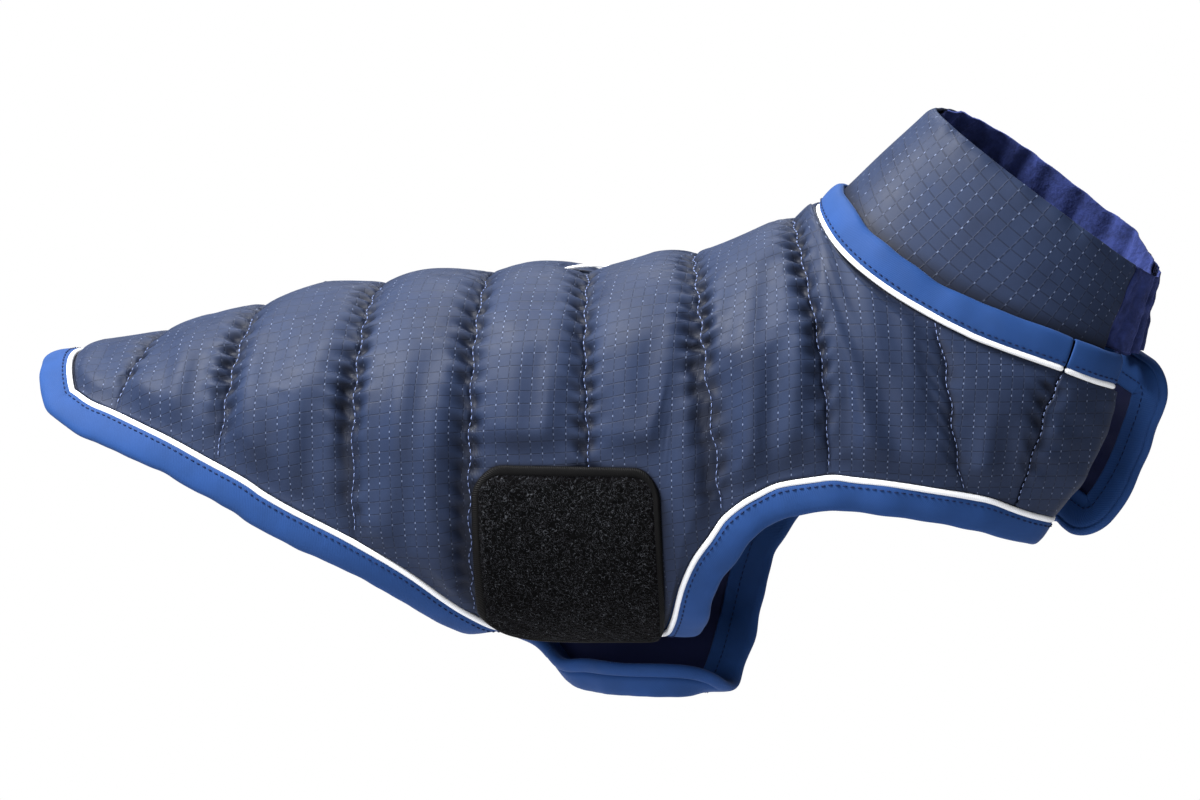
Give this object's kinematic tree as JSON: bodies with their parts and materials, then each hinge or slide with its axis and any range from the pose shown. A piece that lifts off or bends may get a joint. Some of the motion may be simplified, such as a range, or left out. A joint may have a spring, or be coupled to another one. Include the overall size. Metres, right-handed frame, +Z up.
{
  "type": "dog winter coat",
  "caption": "Quilted dog coat with stand-up collar, fleece-lined, blue bound edges with white piping, open belly and chest flaps, a loop patch on one flank and a leash slot on the back.",
  "frame": {"origin": "on the lining at the middle of the back, where the wearer's back carries the coat", "axes": "+X towards the neck, +Z up, -Y the wearer's right side, with the loop patch"},
  "size_m": [0.5301, 0.1572, 0.2766],
  "materials": {
    "ripstop": "slightly glossy coated ripstop nylon, quilted over wadding",
    "lining": "matt brushed polyester",
    "fleece": "soft fleece",
    "band": "matt twill",
    "piping": "smooth white piping cord in tape",
    "loop": "black loop pile",
    "binding": "smooth black woven tape"
  },
  "bodies": {
    "root": {"collar_outer": "ripstop", "collar_gusset": "fleece", "collar_lining": "fleece", "back_shell": "ripstop", "chest_panel_near": "ripstop", "chest_panel_far": "ripstop", "lining": "lining", "hem_band": "band", "edge_near_band": "band", "edge_far_band": "band", "neck_band": "band", "neck_front_near_band": "band", "hem_piping": "piping", "edge_near_piping": "piping", "edge_far_piping": "piping", "neck_piping": "piping", "neck_front_near_piping": "piping", "loop_patch": "loop", "patch_binding": "binding", "leash_slot_piping": "piping"}
  },
  "joints": []
}
